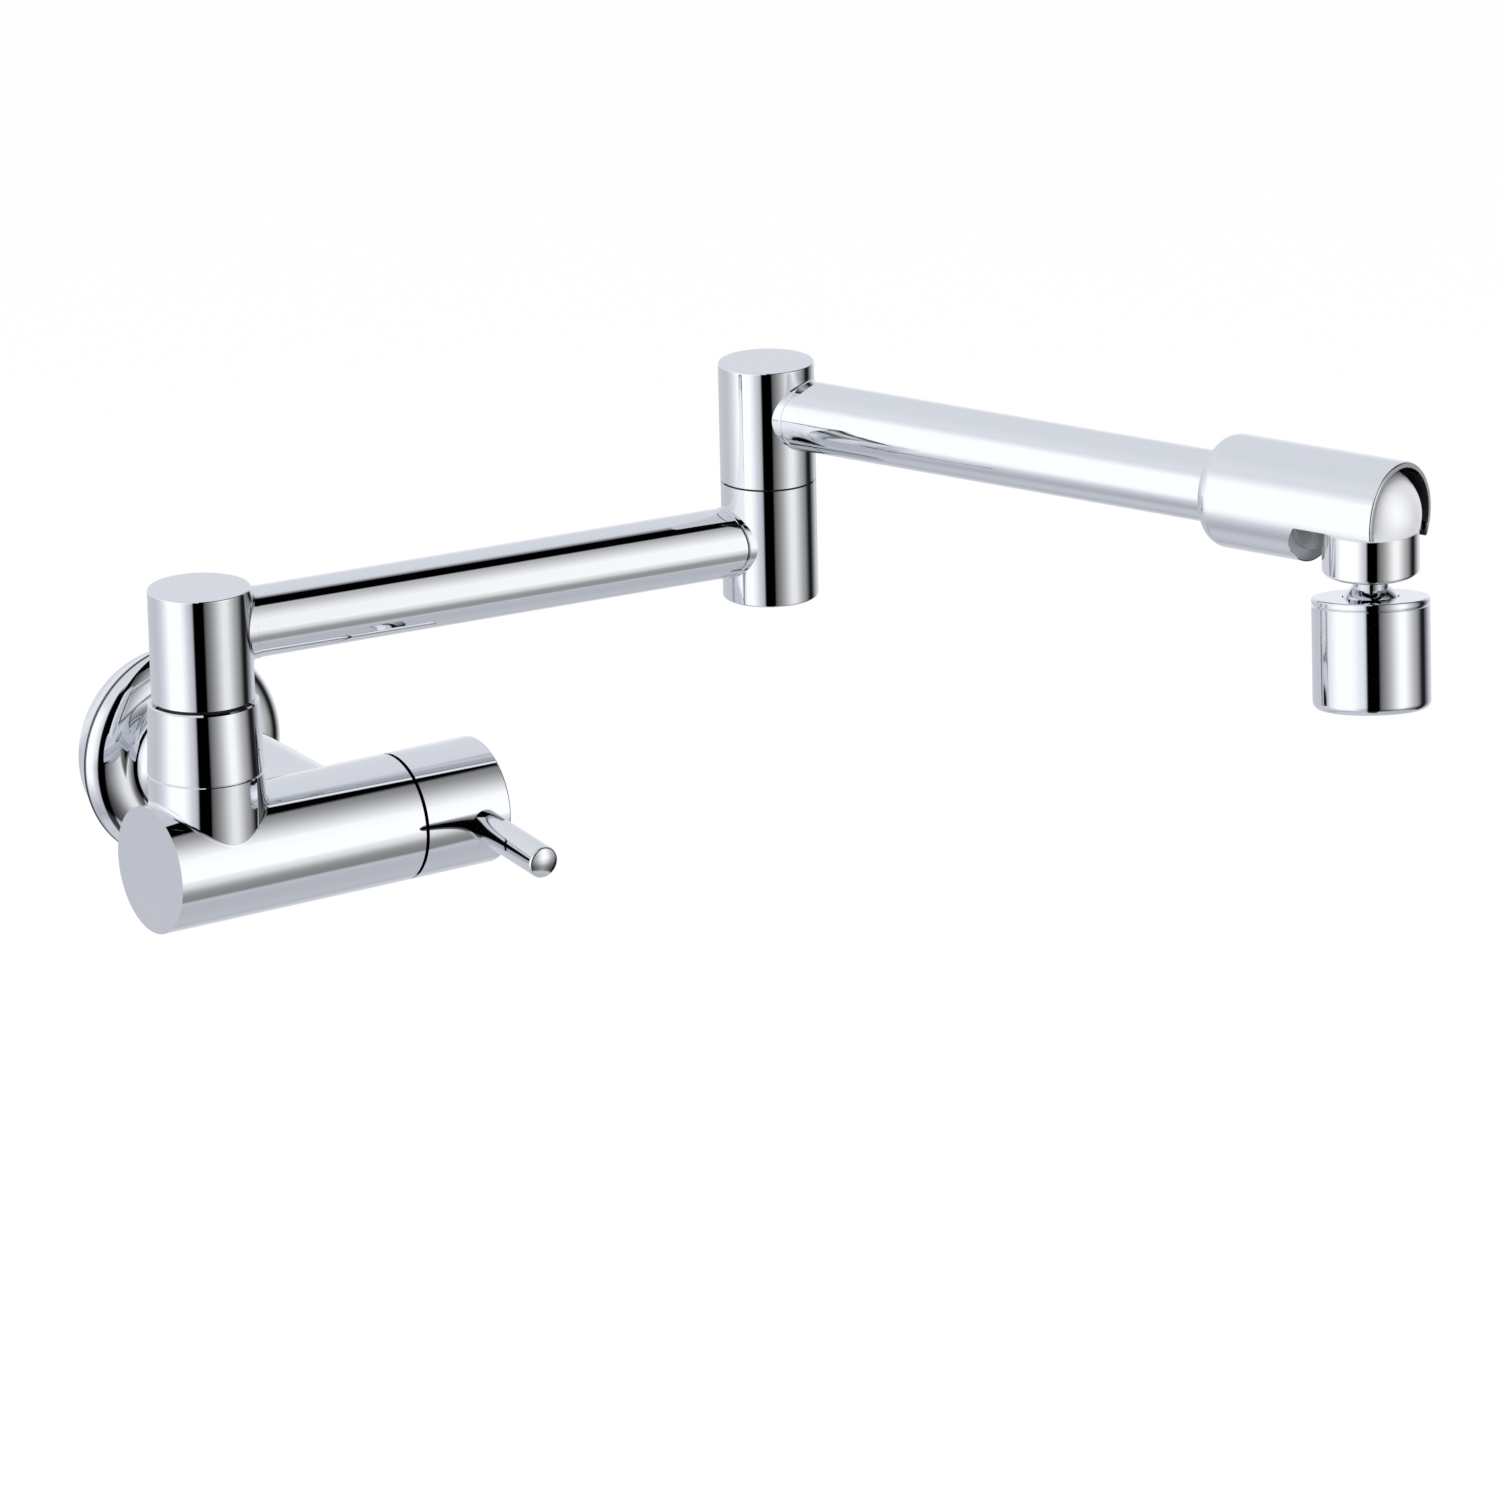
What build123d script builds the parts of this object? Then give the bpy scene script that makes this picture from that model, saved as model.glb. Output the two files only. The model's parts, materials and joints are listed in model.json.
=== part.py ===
"""Folding wall-mounted kitchen faucet: a lever valve, two swinging arms and a swivelling aerator.

Frame: the wall is the plane y = 0 and the room is towards -Y. +X is to the right for someone who
faces the wall, +Z is up. The origin is where the inlet axis meets the wall. Millimetres.
"""
from build123d import *
import math
import os

# Layout of the axes
wall_to_valve = 110.5
inlet_to_post = 46.5
arm_1_length = 195.5
arm_2_length = 222.0
arm_1_angle = -5.8
arm_2_angle = -68.3
arm_spacing = 41.2

# Fits between pieces
running_clearance = 0.05
seated_clearance = 0.02
swing_clearance = 0.25
face_gap = 0.05
ring_groove_play = 0.1
washer_recess = 2.0
edge_round = 0.6
seam_chamfer = 0.4
cut_over = 1.0

# Arm tubes, which sit in shallow pockets of the sleeves they join
tube_radius = 11.0
tube_wall = 1.2
tube_pocket = 1.0
mouth_wall = 0.25
mouth_reach = 2.3
elbow_mouth_round = 2.0
post_mouth_round = 1.4
arm_water_radius = 7.0

# Wall flange, its gasket and the ring that grips it on the neck
gasket_thickness = 1.2
gasket_inner_radius = 25.0
gasket_inset = 0.8
flange_back_radius = 31.3
flange_band_depth = 6.8
flange_line_width = 0.8
flange_line_depth = 0.7
flange_depth = 14.8
flange_sheet = 1.2
flange_collar_length = 6.0
flange_ring_section = 1.3
flange_hole_gap = 0.3

# Valve casting
thread_radius = 10.48
thread_reach = 20.0
neck_start = 5.0
neck_wall_radius = 17.6
neck_valve_radius = 14.7
inlet_bore_radius = 6.5
neck_bore_radius = 11.0
neck_bore_start = 14.0
valve_radius = 20.0
valve_end_wall = 6.0
passage_radius = 14.0
seat_wall = 4.0
valve_overhang = 21.0
valve_reach = 19.4
stub_radius = 18.1
stub_height = 28.3
casting_round = 1.2
stub_thread_radius = 14.4
stub_thread_height = 10.0
strainer_rim = 2.0
strainer_thickness = 2.5
strainer_mesh = 0.8

# Ceramic headwork in the right end of the casting
headwork_seat_x = -13.0
headwork_seal = 2.0
headwork_seal_inner_radius = 7.5
barrel_radius = 10.5
barrel_length = 19.0
barrel_bore_radius = 8.6
chamber_radius = 12.2
chamber_length = 14.0
headwork_thread_radius = 13.0
headwork_head_radius = 12.0
headwork_head_length = 6.6
headwork_ring_section = 1.4
window_width = 8.0
disc_radius = 8.5
disc_thickness = 3.0
port_radius = 2.6
port_offset = 4.6
tang_radius = 7.5
tang_thickness = 3.0
stem_radius = 4.5
spline_radius = 4.0
spline_length = 16.0
clip_radius = 6.0
clip_mouth = 6.2
clip_thickness = 0.8
clip_groove_depth = 0.6
stem_ring_section = 1.6

# Lever handle
hub_seam = 1.2
hub_length = 29.7
hub_cavity_radius = 15.0
hub_cavity_length = 10.0
hub_bore_floor = 5.0
lever_from_end = 8.6
lever_drop_angle = 5.0
lever_root_radius = 3.5
lever_tip_radius = 3.95
lever_reach = 54.0
lever_bevel = 1.5
lever_bevel_radius = 3.15
lever_crown = 0.75
lever_stud_radius = 3.0
lever_stud_length = 11.0
lever_socket = 1.5
grub_radius = 2.5
grub_length = 6.0
grub_key_radius = 1.25
grub_key_depth = 2.5
grub_from_end = 15.0

# Post on the stub: collar, retaining ring, spigot and sleeve
collar_base_radius = 18.05
collar_top_radius = 17.15
collar_height = 22.75
collar_chamfer = 0.5
collar_lip = 7.2
split_ring_gap = 1.5
split_ring_play = 0.2
post_seam = 0.8
post_radius = 15.9
post_rise = 21.15
post_cap = 13.9
post_top_wall = 5.0
post_ring_inset = 5.4
post_chamber_radius = 10.0
spigot_radius = 11.0
spigot_bore_radius = 7.5
spigot_foot = 10.0
spigot_hold = 8.4
retaining_groove_depth = 1.6
swivel_ring_section = 1.8

# Elbow between the arms
elbow_radius = 15.0
elbow_drop = 19.3
elbow_split = 18.5
elbow_seam = 0.6
elbow_cap = 15.5
elbow_end_wall = 6.0
elbow_ring_gap = 3.0
elbow_ring_inset = 2.25
elbow_chamber_radius = 9.0
elbow_spigot_radius = 10.5
elbow_spigot_bore_radius = 7.0
elbow_spigot_hold = 9.5
elbow_spigot_rise = 14.0
set_screw_radius = 2.0
set_screw_height = 3.6
set_screw_play = 0.3
elbow_ring_section = 1.5

# Slotted sleeve at the spout tip
tip_radius = 17.45
tip_length = 63.6
tip_beyond_axis = 10.8
tip_shoulder_round = 5.0
tip_edge_round = 0.8
tip_roll_angle = 11.4
tip_socket_length = 16.8
tip_water_radius = 8.0
tip_seat_behind_axis = 30.0
tip_bore_behind_axis = 17.0
cheek_drop = 6.0
slot_behind_axis = 20.0
slot_half_width = 17.0
slot_corner = 6.0
tube_ring_section = 1.8
tube_ring_from_end = 5.0

# Ball outlet, which turns about a fixed feed nozzle, and its pivots
ball_radius = 15.4
ball_neck_radius = 14.7
ball_neck_drop = 18.1
ball_neck_round = 1.2
ball_chamber_gap = 0.3
plate_radius = 13.5
plate_thickness = 11.5
plate_ring_section = 1.3
plate_ring_inset = 1.95
nozzle_radius = 3.4
nozzle_bore_radius = 2.2
nozzle_ball_radius = 8.5
nozzle_port_width = 7.0
nozzle_port_height = 3.0
nozzle_port_angle = 45.0
nozzle_slot_gap = 0.4
seal_bore_radius = 6.9
pivot_radius = 3.0
pivot_start = 5.0
pivot_length = 9.8
pivot_end_play = 0.25

# Ball stud and aerator
stud_thread_radius = 11.0
stud_thread_length = 7.5
stud_washer_thickness = 1.0
stud_washer_bore_radius = 6.0
stud_waist_radius = 5.4
stud_bore_radius = 3.5
stud_ball_radius = 9.5
stud_ball_drop = 30.5
aerator_lean_angle = 9.0
aerator_lean_heading = -122.5
aerator_radius = 17.9
aerator_top = 4.5
aerator_seam = 2.4
aerator_length = 34.0
aerator_edge_round = 2.5
aerator_bore_radius = 16.0
aerator_mouth_radius = 14.0
aerator_lip = 3.6
cap_skirt = 4.4
cap_clearance = 0.3
swivel_ring_wall = 1.95
swivel_ring_top = -4.0
swivel_ring_bottom = -8.0
cup_floor = -16.0
cup_bore_radius = 6.0
insert_hole_radius = 1.6
insert_hole_spacing = 5.4
insert_hole_rings = 2
insert_holes_in_first_ring = 6


def heading(angle):
    """Horizontal unit vector at an angle from +X, counted towards +Y."""
    return Vector(1, 0, 0).rotate(Axis.Z, angle)


def bar(plane, radius, start, end, mode=Mode.ADD):
    """Round bar along a plane's normal, between two distances from its origin."""
    with BuildSketch(plane.offset(start)) as section:
        Circle(radius)
    extrude(section.sketch, amount=end - start, mode=mode)


def tube(plane, outer, inner, start, end):
    """Round tube along a plane's normal, between two distances from its origin."""
    with BuildSketch(plane.offset(start)) as section:
        Circle(outer)
        Circle(inner, mode=Mode.SUBTRACT)
    extrude(section.sketch, amount=end - start)


def profile_plane(plane):
    """Plane through a turning axis: X is the radius and Y the distance along the axis."""
    return Plane(origin=plane.origin, x_dir=plane.x_dir, z_dir=-plane.y_dir)


def turned(plane, *outline, mode=Mode.ADD):
    """Solid turned about a plane's normal from (radius, distance) corners."""
    with BuildSketch(profile_plane(plane)) as profile:
        with BuildLine():
            Polyline(*outline, close=True)
        make_face()
    revolve(profile.sketch, axis=Axis(plane.origin, plane.z_dir), mode=mode)


def rubber_ring(plane, inner_radius, section, distance):
    """Rubber ring of round section that sits on a given radius."""
    with BuildSketch(profile_plane(plane)) as profile:
        with Locations((inner_radius + section / 2, distance)):
            Circle(section / 2)
    revolve(profile.sketch, axis=Axis(plane.origin, plane.z_dir))


def groove(plane, outer, inner, start, end):
    """Ring groove cut from an outer to an inner radius."""
    over = outer + cut_over
    turned(plane, (inner, start), (over, start), (over, end), (inner, end), mode=Mode.SUBTRACT)


def ring_groove(plane, seat_radius_outside, section, distance):
    """Groove that lets a rubber ring stand up to the radius of the bore around it."""
    floor = seat_radius_outside - section
    half = section / 2 + ring_groove_play
    groove(plane, seat_radius_outside, floor - seated_clearance, distance - half, distance + half)
    return floor


# Heights that several pieces share
collar_top = stub_height + collar_height
post_start = collar_top + post_seam
arm_1_height = post_start + post_rise
arm_2_height = arm_1_height + arm_spacing
elbow_foot = arm_1_height - elbow_drop
elbow_seam_height = arm_1_height + elbow_split
elbow_top = arm_2_height + elbow_cap

# Directions and places that several pieces share
arm_1_dir = heading(arm_1_angle)
arm_2_dir = heading(arm_2_angle)
post_foot = Vector(-inlet_to_post, -wall_to_valve, 0)
elbow_axis_foot = post_foot + arm_1_dir * arm_1_length
tip_axis_foot = elbow_axis_foot + arm_2_dir * arm_2_length
ball_centre = tip_axis_foot + Vector(0, 0, arm_2_height)
stud_centre = ball_centre - Vector(0, 0, stud_ball_drop)

inlet_line = Plane(origin=(0, 0, 0), x_dir=(1, 0, 0), z_dir=(0, -1, 0))
valve_line = Plane(origin=(0, -wall_to_valve, 0), x_dir=(0, 1, 0), z_dir=(1, 0, 0))
post_line = Plane(origin=post_foot)
elbow_line = Plane(origin=elbow_axis_foot)
arm_1_line = Plane(origin=post_foot + Vector(0, 0, arm_1_height), x_dir=(0, 0, 1), z_dir=arm_1_dir)
arm_2_line = Plane(origin=elbow_axis_foot + Vector(0, 0, arm_2_height), x_dir=(0, 0, 1), z_dir=arm_2_dir)
ball_line = Plane(origin=ball_centre, x_dir=arm_2_dir, z_dir=(0, 0, 1))
pivot_dir = heading(arm_2_angle + 90)
pivot_line = Plane(origin=ball_centre, x_dir=-arm_2_dir, z_dir=pivot_dir)
stud_line = Plane(origin=stud_centre)

# The tip sleeve is turned a little on its tube, so its slot doesn't face straight down
slot_up = Vector(0, 0, 1) * math.cos(math.radians(tip_roll_angle))
slot_up += pivot_dir * math.sin(math.radians(tip_roll_angle))
slot_line = Plane(origin=ball_centre, x_dir=arm_2_dir, z_dir=slot_up)

# The aerator hangs with its foot leaning towards one heading
lean_dir = heading(aerator_lean_heading)
aerator_axis = Vector(0, 0, 1) * math.cos(math.radians(aerator_lean_angle))
aerator_axis -= lean_dir * math.sin(math.radians(aerator_lean_angle))
aerator_line = Plane(origin=stud_centre, x_dir=heading(aerator_lean_heading + 90), z_dir=aerator_axis)


# Wall side: gasket, domed flange and grip ring

def neck_radius_at(distance):
    """Radius of the tapered neck at a distance from the wall."""
    share = (distance - neck_start) / (wall_to_valve - neck_start)
    return neck_wall_radius + (neck_valve_radius - neck_wall_radius) * share


with BuildPart() as wall_gasket:
    tube(inlet_line, flange_back_radius - gasket_inset, gasket_inner_radius, 0, gasket_thickness)

flange_hole_radius = neck_radius_at(flange_depth) + flange_hole_gap
flange_collar_radius = neck_radius_at(flange_depth - flange_collar_length) + flange_ring_section
with BuildPart() as wall_flange:
    # One spun sheet: a straight band and a dome that closes in on the neck
    with BuildSketch(profile_plane(inlet_line)):
        with BuildLine():
            for skin in (0, flange_sheet):
                skin_radius = flange_back_radius - skin
                Line((skin_radius, gasket_thickness), (skin_radius, flange_band_depth))
                EllipticalCenterArc(
                    (flange_hole_radius, flange_band_depth),
                    skin_radius - flange_hole_radius,
                    flange_depth - skin - flange_band_depth,
                    arc_size=90,
                )
            back_edge = (flange_back_radius, gasket_thickness)
            Line(back_edge, (flange_back_radius - flange_sheet, gasket_thickness))
            Line((flange_hole_radius, flange_depth - flange_sheet), (flange_hole_radius, flange_depth))
        make_face()
    revolve(axis=Axis(inlet_line.origin, inlet_line.z_dir))
    # Fine line turned round the end of the straight band
    groove(
        inlet_line,
        flange_back_radius,
        flange_back_radius - flange_line_depth,
        flange_band_depth - flange_line_width,
        flange_band_depth,
    )
    # Collar behind the hole, which holds the grip ring round the neck
    tube(
        inlet_line,
        flange_collar_radius + flange_sheet,
        flange_collar_radius,
        flange_depth - flange_collar_length,
        flange_depth - flange_sheet / 2,
    )

with BuildPart() as flange_o_ring:
    grip_distance = flange_depth - flange_sheet - flange_ring_section
    grip_inner = neck_radius_at(grip_distance - flange_ring_section / 2) + seated_clearance
    grip_section = flange_collar_radius - grip_inner - seated_clearance
    rubber_ring(inlet_line, grip_inner, grip_section, grip_distance)

# Valve casting with its threaded inlet, neck, cylinder and stub

valve_left = -inlet_to_post - valve_overhang
barrel_end = headwork_seat_x + headwork_seal + barrel_length
chamber_start = barrel_end - chamber_length
stub_bore_radius = spigot_radius + running_clearance
with BuildPart() as valve_body:
    bar(valve_line, valve_radius, valve_left, valve_reach)
    turned(
        inlet_line,
        (0, neck_start),
        (neck_wall_radius, neck_start),
        (neck_valve_radius, wall_to_valve),
        (0, wall_to_valve),
    )
    bar(post_line, stub_radius, 0, stub_height)
    # Rounded corners where the neck and the stub grow out of the cylinder
    junctions = valve_body.edges().filter_by(GeomType.CIRCLE, reverse=True)
    fillet(junctions.filter_by(GeomType.LINE, reverse=True), casting_round)
    chamfer(valve_body.edges().filter_by(GeomType.CIRCLE).sort_by(Axis.Z)[-1], seam_chamfer)
    bar(inlet_line, thread_radius, -thread_reach, neck_start)
    bar(post_line, stub_thread_radius, stub_height, stub_height + stub_thread_height)
    # Waterway: inlet, ring chamber, headwork seat, cross passage and stub
    bar(inlet_line, inlet_bore_radius, -thread_reach, wall_to_valve, Mode.SUBTRACT)
    bar(inlet_line, neck_bore_radius, neck_bore_start, wall_to_valve - valve_radius, Mode.SUBTRACT)
    bar(valve_line, headwork_thread_radius + seated_clearance, barrel_end, valve_reach, Mode.SUBTRACT)
    bar(valve_line, chamber_radius, chamber_start, barrel_end, Mode.SUBTRACT)
    bar(valve_line, barrel_radius + seated_clearance, headwork_seat_x, chamber_start, Mode.SUBTRACT)
    bar(valve_line, inlet_bore_radius, -inlet_to_post, headwork_seat_x, Mode.SUBTRACT)
    bar(valve_line, passage_radius, valve_left + valve_end_wall, headwork_seat_x - seat_wall, Mode.SUBTRACT)
    bar(post_line, stub_bore_radius, 0, stub_height + stub_thread_height, Mode.SUBTRACT)
    # Recess for the screen washer in the inlet mouth
    bar(
        inlet_line,
        inlet_bore_radius + strainer_rim,
        -thread_reach,
        strainer_thickness - thread_reach,
        Mode.SUBTRACT,
    )

with BuildPart() as inlet_strainer:
    strainer_radius = inlet_bore_radius + strainer_rim - seated_clearance
    tube(inlet_line, strainer_radius, inlet_bore_radius, -thread_reach, strainer_thickness - thread_reach)
    # Woven screen, drawn as one thin disc across the hole
    bar(inlet_line, inlet_bore_radius, -thread_reach, strainer_mesh - thread_reach)

# Ceramic headwork: seal, discs, housing, spindle

seal_front = headwork_seat_x + headwork_seal
disc_seam = seal_front + disc_thickness
tang_start = disc_seam + face_gap + disc_thickness
tang_end = tang_start + tang_thickness
head_end = valve_reach + headwork_head_length
with BuildPart() as cartridge_seal:
    tube(valve_line, barrel_radius, headwork_seal_inner_radius, headwork_seat_x, seal_front)

with BuildPart() as fixed_disc:
    bar(valve_line, disc_radius, seal_front, disc_seam)
    with BuildSketch(valve_line.offset(seal_front)):
        with PolarLocations(port_offset, 2, start_angle=90):
            Circle(port_radius)
    extrude(amount=disc_thickness, mode=Mode.SUBTRACT)

with BuildPart() as moving_disc:
    bar(valve_line, disc_radius, disc_seam + face_gap, tang_start)
    with BuildSketch(valve_line.offset(disc_seam + face_gap)):
        with PolarLocations(port_offset, 2, start_angle=0):
            Circle(port_radius)
    extrude(amount=disc_thickness, mode=Mode.SUBTRACT)

with BuildPart() as cartridge_housing:
    bar(valve_line, barrel_radius, seal_front, barrel_end)
    bar(valve_line, headwork_thread_radius, barrel_end, valve_reach)
    with BuildSketch(valve_line.offset(valve_reach)):
        RegularPolygon(headwork_head_radius, 6)
    extrude(amount=headwork_head_length)
    bar(valve_line, barrel_bore_radius, seal_front, tang_end + face_gap, Mode.SUBTRACT)
    bar(valve_line, stem_radius + running_clearance, tang_end, head_end, Mode.SUBTRACT)
    # Two side windows let the water in from the ring chamber
    with BuildSketch(valve_line.offset(tang_start)):
        Rectangle(window_width, 4 * barrel_radius)
    extrude(amount=tang_thickness, mode=Mode.SUBTRACT)
    housing_ring_floor = ring_groove(
        valve_line,
        headwork_thread_radius,
        headwork_ring_section,
        barrel_end + headwork_ring_section,
    )

with BuildPart() as housing_o_ring:
    rubber_ring(valve_line, housing_ring_floor, headwork_ring_section, barrel_end + headwork_ring_section)

hub_start = valve_reach + hub_seam
hub_end = hub_start + hub_length
spline_end = head_end + spline_length
clip_start = head_end + face_gap
with BuildPart() as spindle:
    bar(valve_line, tang_radius, tang_start, tang_end)
    bar(valve_line, stem_radius, tang_end, head_end + 2 * clip_thickness)
    bar(valve_line, spline_radius, head_end + 2 * clip_thickness, spline_end)
    stem_ring_place = (tang_end + head_end) / 2
    stem_ring_floor = ring_groove(valve_line, stem_radius, stem_ring_section, stem_ring_place)
    groove(
        valve_line,
        stem_radius,
        stem_radius - clip_groove_depth,
        clip_start,
        clip_start + clip_thickness,
    )

with BuildPart() as spindle_o_ring:
    rubber_ring(valve_line, stem_ring_floor, stem_ring_section, stem_ring_place)

with BuildPart() as spindle_clip:
    # Open spring clip: a washer with a mouth as wide as the groove it snaps over
    clip_inner = stem_radius - clip_groove_depth + seated_clearance
    with BuildSketch(valve_line.offset(clip_start)):
        Circle(clip_radius)
        Circle(clip_inner, mode=Mode.SUBTRACT)
        with Locations((0, clip_radius)):
            Rectangle(clip_mouth, 2 * clip_radius, mode=Mode.SUBTRACT)
    extrude(amount=clip_thickness)

# Handle: hub, lever and locking screw

lever_place = Vector(hub_end - lever_from_end, -wall_to_valve, 0)
lever_dir = Vector(0, -1, 0).rotate(Axis.X, lever_drop_angle)
lever_line = Plane(origin=lever_place, x_dir=(1, 0, 0), z_dir=lever_dir)
grub_line = Plane(
    origin=(hub_end - grub_from_end, -wall_to_valve, 0),
    x_dir=(1, 0, 0),
    z_dir=lever_dir.rotate(Axis.X, 90),
)
lever_foot = valve_radius - lever_socket
lever_stud_end = lever_foot - lever_stud_length
with BuildPart() as handle_hub:
    bar(valve_line, valve_radius, hub_start, hub_end)
    fillet(handle_hub.edges().filter_by(GeomType.CIRCLE).sort_by(Axis.X)[-1], edge_round)
    bar(valve_line, hub_cavity_radius, hub_start, hub_start + hub_cavity_length, Mode.SUBTRACT)
    bar(valve_line, spline_radius + seated_clearance, hub_start, hub_end - hub_bore_floor, Mode.SUBTRACT)
    bar(lever_line, lever_root_radius + seated_clearance, lever_foot, valve_radius + cut_over, Mode.SUBTRACT)
    bar(lever_line, lever_stud_radius + seated_clearance, lever_stud_end, lever_foot, Mode.SUBTRACT)
    bar(grub_line, grub_radius + seated_clearance, 0, valve_radius + cut_over, Mode.SUBTRACT)

bevel_end = lever_reach - lever_crown
with BuildPart() as lever_rod:
    # The rod swells slightly to a bevelled, domed tip
    turned(
        lever_line,
        (0, lever_foot),
        (lever_root_radius, lever_foot),
        (lever_tip_radius, bevel_end - lever_bevel),
        (lever_bevel_radius, bevel_end),
        (0, bevel_end),
    )
    with BuildSketch(profile_plane(lever_line)):
        with BuildLine():
            crown = TangentArc((0, lever_reach), (lever_bevel_radius, bevel_end), tangent=(1, 0))
            Polyline(crown @ 1, (0, bevel_end), crown @ 0)
        make_face()
    revolve(axis=Axis(lever_line.origin, lever_line.z_dir))
    bar(lever_line, lever_stud_radius, lever_stud_end, lever_foot)

with BuildPart() as hub_grub_screw:
    grub_start = spline_radius + seated_clearance
    bar(grub_line, grub_radius, grub_start, grub_start + grub_length)
    with BuildSketch(grub_line.offset(grub_start + grub_length)):
        RegularPolygon(grub_key_radius, 6)
    extrude(amount=-grub_key_depth, mode=Mode.SUBTRACT)

# Post: collar nut, retaining ring, bearing washer, spigot and sleeve

lip_foot = collar_top - collar_lip
post_end = arm_1_height + post_cap
upstand_top = stub_height + stub_thread_height
split_ring_start = upstand_top + face_gap
split_ring_end = lip_foot - face_gap
retaining_radius = spigot_radius - retaining_groove_depth
with BuildPart() as collar_nut:
    turned(
        post_line,
        (stub_thread_radius + seated_clearance, stub_height),
        (collar_base_radius - seam_chamfer, stub_height),
        (collar_base_radius, stub_height + seam_chamfer),
        (collar_top_radius, collar_top - collar_chamfer),
        (collar_top_radius - collar_chamfer, collar_top),
        (spigot_radius + swing_clearance, collar_top),
        (spigot_radius + swing_clearance, lip_foot),
        (stub_thread_radius + seated_clearance, lip_foot),
    )

with BuildPart() as split_ring:
    with BuildSketch(post_line.offset(split_ring_start)):
        Circle(stub_thread_radius)
        Circle(retaining_radius + 2 * running_clearance, mode=Mode.SUBTRACT)
        with Locations((-spigot_radius, 0)):
            Rectangle(2 * spigot_radius, split_ring_gap, mode=Mode.SUBTRACT)
    extrude(amount=split_ring_end - split_ring_start)

with BuildPart() as post_washer:
    tube(
        post_line,
        post_radius - washer_recess,
        spigot_radius + swing_clearance,
        collar_top,
        post_start - face_gap,
    )

post_ring_places = (spigot_foot + post_ring_inset, stub_height - post_ring_inset)
with BuildPart() as post_spigot:
    tube(post_line, spigot_radius, spigot_bore_radius, spigot_foot, post_start + spigot_hold)
    groove(
        post_line,
        spigot_radius,
        retaining_radius,
        split_ring_start - split_ring_play,
        split_ring_end + split_ring_play,
    )
    for place in post_ring_places:
        post_ring_floor = ring_groove(post_line, spigot_radius, swivel_ring_section, place)

with BuildPart() as post_o_rings:
    for place in post_ring_places:
        rubber_ring(post_line, post_ring_floor, swivel_ring_section, place)


def sleeve(axis_line, radius, start, end, tube_line, mouth_round):
    """Round sleeve with a rounded mouth and a shallow pocket for an arm tube along another line."""
    mouth_radius = tube_radius + mouth_wall
    bar(tube_line, mouth_radius, 0, 2 * radius)
    bar(axis_line, radius + mouth_reach, start, end, Mode.INTERSECT)
    bar(axis_line, radius, start, end)
    # The mouth swells out of the sleeve along the curve where the two cylinders cross
    outlines = [edge for edge in edges() if edge.geom_type not in (GeomType.CIRCLE, GeomType.LINE)]
    fillet(sorted(outlines, key=lambda edge: edge.length)[0], mouth_round)
    bar(tube_line, tube_radius + seated_clearance, 0, 2 * radius, Mode.SUBTRACT)
    bar(axis_line, radius - tube_pocket, start, end)


with BuildPart() as post_sleeve:
    sleeve(post_line, post_radius, post_start, post_end, arm_1_line, post_mouth_round)
    fillet(post_sleeve.edges().filter_by(GeomType.CIRCLE).sort_by(Axis.Z)[-1], edge_round)
    bar(post_line, spigot_radius + seated_clearance, post_start, post_start + spigot_hold, Mode.SUBTRACT)
    bar(
        post_line,
        post_chamber_radius,
        post_start + spigot_hold,
        post_end - post_top_wall,
        Mode.SUBTRACT,
    )
    bar(arm_1_line, arm_water_radius, 0, post_radius, Mode.SUBTRACT)

# First arm and the lower half of the elbow

arm_1_back_line = Plane(
    origin=elbow_axis_foot + Vector(0, 0, arm_1_height),
    x_dir=(0, 0, 1),
    z_dir=-arm_1_dir,
)
with BuildPart() as arm_1_tube:
    tube(arm_1_line, tube_radius, tube_radius - tube_wall, 0, arm_1_length)
    bar(post_line, post_radius - tube_pocket + seated_clearance, 0, elbow_top, Mode.SUBTRACT)
    bar(elbow_line, elbow_radius - tube_pocket + seated_clearance, 0, elbow_top, Mode.SUBTRACT)

elbow_spigot_foot = elbow_seam_height - elbow_spigot_hold
upper_foot = elbow_seam_height + elbow_seam
elbow_spigot_top = upper_foot + elbow_spigot_rise
with BuildPart() as lower_elbow:
    sleeve(elbow_line, elbow_radius, elbow_foot, elbow_seam_height, arm_1_back_line, elbow_mouth_round)
    fillet(lower_elbow.edges().filter_by(GeomType.CIRCLE).sort_by(Axis.Z)[0], edge_round)
    bar(elbow_line, elbow_chamber_radius, elbow_foot + elbow_end_wall, elbow_seam_height, Mode.SUBTRACT)
    bar(
        elbow_line,
        elbow_spigot_radius + seated_clearance,
        elbow_spigot_foot,
        elbow_seam_height,
        Mode.SUBTRACT,
    )
    bar(arm_1_back_line, arm_water_radius, 0, elbow_radius, Mode.SUBTRACT)

screw_place = upper_foot + set_screw_height
screw_groove_floor = elbow_spigot_radius - retaining_groove_depth
elbow_ring_places = (
    screw_place + set_screw_radius + elbow_ring_gap,
    elbow_spigot_top - elbow_ring_inset,
)
with BuildPart() as elbow_spigot:
    tube(elbow_line, elbow_spigot_radius, elbow_spigot_bore_radius, elbow_spigot_foot, elbow_spigot_top)
    groove(
        elbow_line,
        elbow_spigot_radius,
        screw_groove_floor,
        screw_place - set_screw_radius - set_screw_play,
        screw_place + set_screw_radius + set_screw_play,
    )
    for place in elbow_ring_places:
        elbow_ring_floor = ring_groove(elbow_line, elbow_spigot_radius, elbow_ring_section, place)

with BuildPart() as elbow_o_rings:
    for place in elbow_ring_places:
        rubber_ring(elbow_line, elbow_ring_floor, elbow_ring_section, place)

with BuildPart() as elbow_washer:
    tube(
        elbow_line,
        elbow_radius - washer_recess,
        elbow_spigot_radius + swing_clearance,
        elbow_seam_height,
        upper_foot - face_gap,
    )

# Upper half of the elbow and the second arm

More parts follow.
